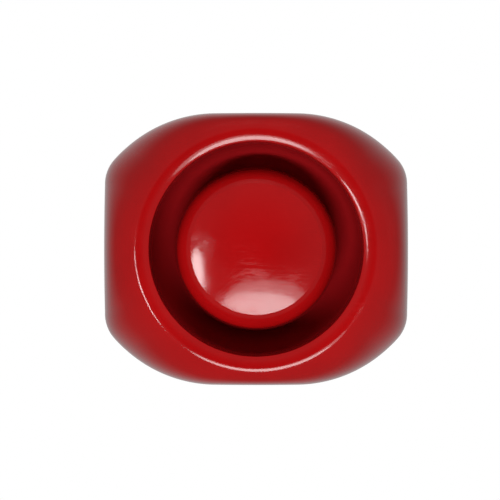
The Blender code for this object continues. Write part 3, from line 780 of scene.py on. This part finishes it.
class SOUNDER_OT_box(bpy.types.Operator):
    """Build the back box with its cable entries, blanks, grommet and seal"""

    bl_idname = "sounder.back_box"
    bl_label = "Back Box"

    def execute(self, context):
        self.shell()
        self.standoffs()
        self.blanks()
        self.grommet()
        self.seal()
        return {"FINISHED"}

    def shell(self):
        """Up the outside, over the spigot, and down the inside past the seal's ledge to the floor."""
        satin = material("satin_red")
        outside = [mm(4.0, 0), mm(0.7, 0), mm(0.3, 40)]
        spigot = [mm(3.2, 40), mm(3.2, 48), mm(5.2, 48), mm(5.2, 37.2)]
        inside = [mm(8, 37.2), mm(8, 36), mm(3.5, 32), mm(3.5, 2.8), mm(6.0, 2.8)]
        radii = [0, *mm(1.0, 0.35, 0.4, 0.5, 0.5, 0.3, 0.4, 0.8, 1.0, 1.2), 0]
        grid = outline_rows(dense(rounded([*outside, *spigot, *inside], radii), mm(3)))
        box = grid_piece("box_shell", grid, satin, closed=False, caps=True)
        tools = []
        for side, name in ((-1, "bottom"), (1, "top")):
            near, far = side * mm(40), side * mm(52)
            tools.append(rod_tool(f"{name}_bore", mm(10.1), near, far, ENTRY_AXIS, satin, 96, "up"))
        tools.append(rod_tool("rear_bore", mm(9), mm(-2), mm(4), REAR_ENTRY, satin, 96))
        for x in (-38, 38):
            for z in (-18, 18):
                slot = rod_tool(f"slot_{x}_{z}", mm(2.5), mm(-2), mm(4), mm(x, z), satin, 48)
                stretch(slot, mm(x), mm(2.5))
                tools.append(slot)
        carve(box, *tools)
        settle(box, "back_box_base", "red_satin", "back_box")

    def standoffs(self):
        """Four posts that hold the terminal board off the floor."""
        post = rounded([(0, mm(4.2)), mm(2.5, 4.2), mm(2.8, 2.5), (0, mm(2.5))], [0, mm(0.3), 0, 0])
        places = [mm(x, z) for x in (-12, 12) for z in (-33, -12)]
        for i, centre in enumerate(places):
            name = f"standoff_{i + 1}"
            standoff = turned_piece(name, post, material("satin_red"), centre, 32, closed=False)
            settle(standoff, "back_box_base", "red_satin")

    def blanks(self):
        """A disc with a sunk middle in each entry, and a flange behind the box's wall."""
        face = shape().half_height - mm(0.8)
        sunk, flange, back = face - mm(0.7), face - mm(3.0), face - mm(4.5)
        disc = [(0, sunk), (mm(6.6), sunk), (mm(7.2), face), (mm(9.8), face)]
        disc += [(mm(9.8), flange), (mm(11.5), flange), (mm(11.5), back), (0, back)]
        profile = rounded(disc, [0, *mm(0.3, 0.3, 0.4, 0, 0.3, 0.3), 0])
        for side, name in ((-1, "bottom_entry_blank"), (1, "top_entry_blank")):
            flipped = profile * (1, side)
            blank = turned_piece(
                f"{name}_disc", flipped, material("satin_red"), ENTRY_AXIS, closed=False, axis="up"
            )
            settle(blank, "back_box_base", "red_satin", name)

    def grommet(self):
        """A rubber disc with a thin dished middle and a groove for the edge of the rear entry."""
        lip = [(0, mm(1.6)), mm(4.8, 1.6), mm(5.8, 4.5), mm(10.6, 4.5)]
        lip += [mm(10.6, 3.1), mm(8.7, 3.1), mm(8.7, 0.6), (0, mm(0.6))]
        profile = rounded(lip, [0, *mm(0.5, 0.6, 0.6, 0.3, 0, 0.4), 0])
        grommet = turned_piece("grommet", profile, material("black_rubber"), REAR_ENTRY, closed=False)
        settle(grommet, "back_box_base", "black_rubber", "rear_grommet")

    def seal(self):
        """A rubber cord with rounded edges, carried round the outline."""
        bead = rounded([mm(5.6, 37.5), mm(5.6, 39.7), mm(7.6, 39.7), mm(7.6, 37.5)], mm(0.8), 6, closed=True)
        seal = grid_piece("seal_bead", outline_rows(bead), material("black_rubber"))
        settle(seal, "back_box_base", "black_rubber", "head_seal")


class SOUNDER_OT_locks(bpy.types.Operator):
    """Build the slotted lock screws in the head's flat sides"""

    bl_idname = "sounder.lock_screws"
    bl_label = "Lock Screws"

    def execute(self, context):
        steel = material("screw_steel")
        face, radius, slot_middle, slot_half = mm(52.5, 2.6, 52.2, 3.5)
        head = rounded([(0, face), (radius, face), mm(2.6, 50.2), (0, mm(50.2))], [0, mm(0.35), mm(0.1), 0])
        low, high = LOCK_HEIGHT - slot_half, LOCK_HEIGHT + slot_half
        for side, name in ((-1, "left"), (1, "right")):
            turned = head * (1, side)
            screw = turned_piece(f"lock_{name}", turned, steel, LOCK_AXIS, 48, closed=False, axis="across")
            middle = (side * slot_middle, 0)
            carve(screw, block_piece(f"lock_slot_{name}", mm(2.4, 0.8), middle, low, high, steel))
            settle(screw, f"{name}_lock_screw", "screw_steel", f"lock_screw_{name}")
        return {"FINISHED"}


class SOUNDER_OT_cover(bpy.types.Operator):
    """Build the black rear cover, its screws and the controls that show through its windows"""

    bl_idname = "sounder.rear_cover"
    bl_label = "Rear Cover"

    def execute(self, context):
        self.cover()
        self.switch()
        self.trimmer()
        self.pins()
        return {"FINISHED"}

    def cover(self):
        """A round tub on a plate that follows the outline, with three windows in its floor."""
        black, steel = material("black_plastic"), material("screw_steel")
        tub = rounded([mm(20, 24), mm(36, 24), mm(36, 40)], [0, mm(1.6), 0], 8)
        plate = rounded([mm(8, 40), mm(5.6, 40), mm(5.6, 42), mm(8, 42)], [0, mm(0.5), mm(0.5), 0])
        well = dense([mm(34.2, 42), mm(34.2, 25.8)], mm(3))
        grid = np.concatenate([circle_rows(dense(tub, mm(3))), outline_rows(plate), circle_rows(well)])
        cover = grid_piece("cover_tub", grid, black, closed=False, caps=True)
        windows = (
            ("switch_window", mm(11.6, 7.2), SWITCH),
            ("trimmer_window", mm(7.8, 7.8), TRIMMER),
            ("pin_window", mm(16, 3.4), mm(0, PIN_ROW)),
        )
        tools = [block_piece(name, size, at, mm(22), mm(27), black) for name, size, at in windows]
        corners = [mm(x, z) for x in (-38, 38) for z in (-25, 25)]
        tools += [rod_tool(f"bore_{i}", mm(1.7), mm(39), mm(43), at, black) for i, at in enumerate(corners)]
        carve(cover, *tools)
        settle(cover, "head", "black_plastic", "rear_cover")
        for i, centre in enumerate(corners):
            head, shank = mm(2.6, 37.7, 39.7), mm(1.3, 52)
            screw = cross_screw(f"cover_fixing_{i + 1}", head, shank, centre, steel)
            settle(screw, "head", "screw_steel", f"cover_screw_{i + 1}")

    def switch(self):
        """The switch block with a well for each of its four sliders."""
        blue, white = material("blue_plastic"), material("white_plastic")
        switch = block_piece("switch_case", mm(10.8, 6.4), SWITCH, mm(23.2), mm(28.7), blue, mm(0.25))
        wells = []
        for i in range(4):
            x = mm(-14 + (i - 1.5) * 2.54)
            wells.append(block_piece(f"well_{i}", mm(1.7, 3.6), (x, SWITCH[1]), mm(22), mm(24.8), blue))
            size, centre = mm(1.0, 1.5), (x, mm(9.4))
            slider = block_piece(f"slider_{i + 1}", size, centre, mm(22.7), mm(24.5), white, mm(0.15))
            settle(slider, f"tone_switch_{i + 1}", "white_plastic", f"tone_slider_{i + 1}")
        carve(switch, *wells)
        settle(switch, "head", "blue_plastic", "switch_block")

    def trimmer(self):
        """The volume trimmer: a case with a round well and a slotted rotor in it."""
        blue, white = material("blue_plastic"), material("white_plastic")
        trimmer = block_piece("trimmer_case", mm(7, 7), TRIMMER, mm(23.4), mm(28.7), blue, mm(0.3))
        carve(trimmer, rod_tool("rotor_well", mm(2.7), mm(22), mm(24.9), TRIMMER, blue))
        settle(trimmer, "head", "blue_plastic", "volume_body")
        profile = rounded([(0, mm(24.6)), mm(2.3, 24.6), mm(2.3, 23.0), (0, mm(23.0))], [0, 0, mm(0.3), 0])
        rotor = turned_piece("trimmer_rotor", profile, white, TRIMMER, 48, closed=False)
        carve(rotor, block_piece("rotor_slot", mm(3.2, 0.7), TRIMMER, mm(22), mm(23.7), white))
        settle(rotor, "volume_control", "white_plastic", "volume_rotor")

    def pins(self):
        """Three square contact pins."""
        brass = material("brass")
        for i, x in enumerate(PIN_PLACES):
            centre = mm(x, PIN_ROW)
            pin = block_piece(f"pin_{i + 1}", mm(1.2, 1.2), centre, mm(15), mm(28.7), brass, mm(0.3))
            settle(pin, "head", "brass", f"contact_pin_{i + 1}")


class SOUNDER_OT_terminals(bpy.types.Operator):
    """Build the terminal block and the contact carrier inside the back box"""

    bl_idname = "sounder.terminals"
    bl_label = "Terminals"

    def execute(self, context):
        self.terminal_block()
        self.contact_carrier()
        return {"FINISHED"}

    def terminal_block(self):
        """A block with a screw well and a wire port for each terminal, and a slotted screw in each well."""
        green, steel = material("terminal_green"), material("screw_steel")
        row, places = -29, (-9, -3, 3, 9)
        block = block_piece("terminal_case", mm(25, 10), mm(0, row), mm(6.4), mm(16.4), green, mm(0.4))
        tools = []
        for i, x in enumerate(places):
            tools.append(rod_tool(f"well_{i}", mm(2.2), mm(12.4), mm(18), mm(x, row), green))
            tools.append(block_piece(f"port_{i}", mm(3.6, 6), mm(x, row - 5), mm(7.6), mm(11.0), green))
        carve(block, *tools)
        settle(block, "back_box_base", "terminal_green", "terminal_block")
        profile = rounded([(0, mm(12.7)), mm(1.8, 12.7), mm(1.8, 15.1), (0, mm(15.1))], [0, 0, mm(0.35), 0])
        for i, x in enumerate(places):
            screw = turned_piece(f"clamp_screw_{i + 1}", profile, steel, mm(x, row), 40, closed=False)
            carve(screw, block_piece(f"slot_{i}", mm(4, 0.6), mm(x, row), mm(14.3), mm(16), steel))
            settle(screw, "back_box_base", "screw_steel", f"terminal_screw_{i + 1}")

    def contact_carrier(self):
        """A block with a deep socket for each contact pin."""
        black = material("black_plastic")
        carrier = block_piece("socket_case", mm(18, 7), mm(0, PIN_ROW), mm(6.4), mm(20), black, mm(0.5))
        sockets = []
        for i, x in enumerate(PIN_PLACES):
            sockets.append(block_piece(f"hole_{i}", mm(3.0, 3.8), mm(x, PIN_ROW), mm(9), mm(21), black))
        carve(carrier, *sockets)
        settle(carrier, "back_box_base", "black_plastic", "contact_carrier")


# Finish of each frame node that stays, by the start of its name.
NODE_FINISH = {
    "plug_screw": "screw_steel",
    "driver_screw": "screw_steel",
    "board_screw": "screw_steel",
    "driver_gasket": "black_rubber",
    "driver_frame": "black_plastic",
    "driver_top_plate": "driver_steel",
    "driver_yoke": "driver_steel",
    "driver_magnet": "ferrite",
    "diaphragm": "amber_film",
    "voice_coil": "copper",
    "circuit_board": "board",
    "terminal_board": "board",
    "amplifier_chip": "black_plastic",
    "transformer": "ferrite",
    "capacitor": "capacitor_sleeve",
    "contact_clip": "brass",
    "lead_red": "lead_red",
    "lead_black": "lead_black",
}


class SOUNDER_OT_finishes(bpy.types.Operator):
    """Give the frame's own inner parts their finishes"""

    bl_idname = "sounder.finishes"
    bl_label = "Inner Finishes"

    def execute(self, context):
        for name, node in NODES.items():
            finish = next((f for start, f in NODE_FINISH.items() if name.startswith(start)), None)
            if finish is None or node.hide_render:
                continue
            if not node.material_slots:
                node.data.materials.append(None)
            for slot in node.material_slots:
                slot.link = "OBJECT"
                slot.material = material(finish)
        return {"FINISHED"}


class SOUNDER_OT_stage(bpy.types.Operator):
    """Add the floor, the studio light and the camera"""

    bl_idname = "sounder.stage"
    bl_label = "Stage"

    def execute(self, context):
        self.floor(context)
        self.surroundings(context)
        self.lights(context)
        self.camera(context)
        return {"FINISHED"}

    def floor(self, context):
        """A pale floor 0.6 m below the sounder, which neither mirrors in it nor lights it."""
        bpy.ops.mesh.primitive_plane_add(size=12, location=(0, 0, -0.6))
        floor = context.object
        floor.name = "floor"
        pale = Nodes("floor_pale")
        tone = pale.mix(pale.noise(3.0, 2.0), (0.86, 0.86, 0.86), (0.9, 0.9, 0.9))
        pale.link(tone, pale.shader, "Emission Color")
        floor.data.materials.append(pale.finish(tone, 0.9, Emission_Strength=0.65))
        floor.visible_glossy = False
        floor.visible_diffuse = False

    def lights(self, context):
        """Elliptical area lights that face the dome. For each: degrees right and up from straight in front,
        distance, width, height, watts and whether it shows in the gloss or only lights the surface."""
        aim = (0.0, -0.07, 0.0)
        for name, right, up, away, width, height, power, gloss in (
            ("low_soft_box", 2, -31, 0.8, 0.56, 0.24, 2.3, True),
            ("low_glow", 6, -27, 0.85, 0.62, 0.34, 1.4, True),
            ("left_strip", -31, -11, 0.9, 0.1, 0.36, 1.5, True),
            ("low_fill", -8, -26, 1.2, 0.7, 0.2, 10.2, False),
            ("top_fill", 0, 60, 1.2, 0.8, 0.5, 3.5, False),
            ("right_fill", 82, 12, 1.4, 0.8, 0.8, 2.5, False),
            ("rear_fill", 205, 30, 1.5, 1.0, 0.8, 9.0, False),
        ):
            light = bpy.data.lights.new(name, "AREA")
            light.shape = "ELLIPSE"
            light.size, light.size_y, light.energy = width, height, power
            holder = bpy.data.objects.new(name, light)
            context.scene.collection.objects.link(holder)
            right, up = math.radians(right), math.radians(up)
            out = (math.sin(right) * math.cos(up), -math.cos(right) * math.cos(up), math.sin(up))
            holder.location = [a + away * o for a, o in zip(aim, out, strict=True)]
            holder.rotation_euler = Vector(out).to_track_quat("Z", "Y").to_euler()
            holder.visible_camera = False
            holder.visible_glossy = gloss
            holder.visible_diffuse = not gloss

    def camera(self, context):
        """Square on, a touch left and low; field is the width that it takes in at the sounder's middle."""
        camera = bpy.data.cameras.new("camera")
        holder = bpy.data.objects.new("camera", camera)
        context.scene.collection.objects.link(holder)
        away, field, sensor = 1.5, 0.1755, 36.0
        camera.sensor_width = sensor
        camera.lens = sensor * away / field
        camera.clip_start, camera.clip_end = 0.05, 20.0
        left, low, middle = mm(2.1, 0.35, 45)
        holder.location = (-left, -(middle + away), -low)
        holder.rotation_euler = (math.pi / 2, 0, 0)
        context.scene.camera = holder
        context.scene.view_settings.view_transform = "Standard"

    def surroundings(self, context):
        """White to the camera; even and dim to diffuse rays; to gloss, dark behind the camera and brighter
        towards the wall."""
        world = bpy.data.worlds.new("studio")
        context.scene.world = world
        world.use_nodes = True
        tree = world.node_tree
        add, link = tree.nodes.new, tree.links.new
        back = tree.nodes["Background"]
        place = add("ShaderNodeTexCoord")
        split = add("ShaderNodeSeparateXYZ")
        link(place.outputs["Generated"], split.inputs["Vector"])
        depth = add("ShaderNodeMapRange")
        depth.inputs["From Min"].default_value = -1.0
        link(split.outputs["Y"], depth.inputs["Value"])
        ramp = add("ShaderNodeValToRGB")
        link(depth.outputs["Result"], ramp.inputs["Fac"])
        # Brightness to gloss, from straight behind the camera (0) to straight behind the wall (1).
        steps = ((0.0, 0.0), (0.07, 0.16), (0.6, 0.19), (0.92, 0.46))
        for position, _ in steps[1:-1]:
            ramp.color_ramp.elements.new(position)
        for element, (position, level) in zip(ramp.color_ramp.elements, steps, strict=True):
            element.position = position
            element.color = (level, level, level, 1.0)
        rays = add("ShaderNodeLightPath")
        even = add("ShaderNodeMath")
        even.operation = "MULTIPLY_ADD"
        even.inputs[1].default_value = 0.2  # brightness to diffuse rays
        link(rays.outputs["Is Diffuse Ray"], even.inputs[0])
        link(rays.outputs["Is Camera Ray"], even.inputs[2])
        total = add("ShaderNodeMath")
        total.operation = "MULTIPLY_ADD"
        link(rays.outputs["Is Glossy Ray"], total.inputs[0])
        link(ramp.outputs["Color"], total.inputs[1])
        link(even.outputs["Value"], total.inputs[2])
        link(total.outputs["Value"], back.inputs["Strength"])
        back.inputs["Color"].default_value = (1, 1, 1, 1)


class SOUNDER_PT_panel(bpy.types.Panel):
    """Lists the sounder's sizes, colours and builders"""

    bl_idname = "SOUNDER_PT_panel"
    bl_label = "Alarm Sounder"
    bl_space_type = "VIEW_3D"
    bl_region_type = "UI"
    bl_category = "Sounder"

    def draw(self, context):
        for group in (context.scene.sounder_shape, context.scene.sounder_colours):
            for key in group.__annotations__:
                self.layout.prop(group, key)
        for builder in OPERATORS:
            self.layout.operator(builder.bl_idname)


OPERATORS = (
    SOUNDER_OT_stage,
    SOUNDER_OT_housing,
    SOUNDER_OT_horn,
    SOUNDER_OT_box,
    SOUNDER_OT_locks,
    SOUNDER_OT_cover,
    SOUNDER_OT_terminals,
    SOUNDER_OT_finishes,
)
CLASSES = (SounderShape, SounderColours, *OPERATORS, SOUNDER_PT_panel)


def register():
    """Makes the sizes, colours, builders and panel known."""
    for cls in CLASSES:
        bpy.utils.register_class(cls)
    bpy.types.Scene.sounder_shape = PointerProperty(type=SounderShape)
    bpy.types.Scene.sounder_colours = PointerProperty(type=SounderColours)


def unregister():
    """Undoes register."""
    del bpy.types.Scene.sounder_colours
    del bpy.types.Scene.sounder_shape
    for cls in reversed(CLASSES):
        bpy.utils.unregister_class(cls)


def main():
    """Builds every piece in order."""
    register()
    for builder in OPERATORS:
        area, name = builder.bl_idname.split(".")
        result = getattr(getattr(bpy.ops, area), name)()
        if result != {"FINISHED"}:
            raise RuntimeError(f"{builder.bl_label} didn't finish")


if __name__ == "__main__":
    main()
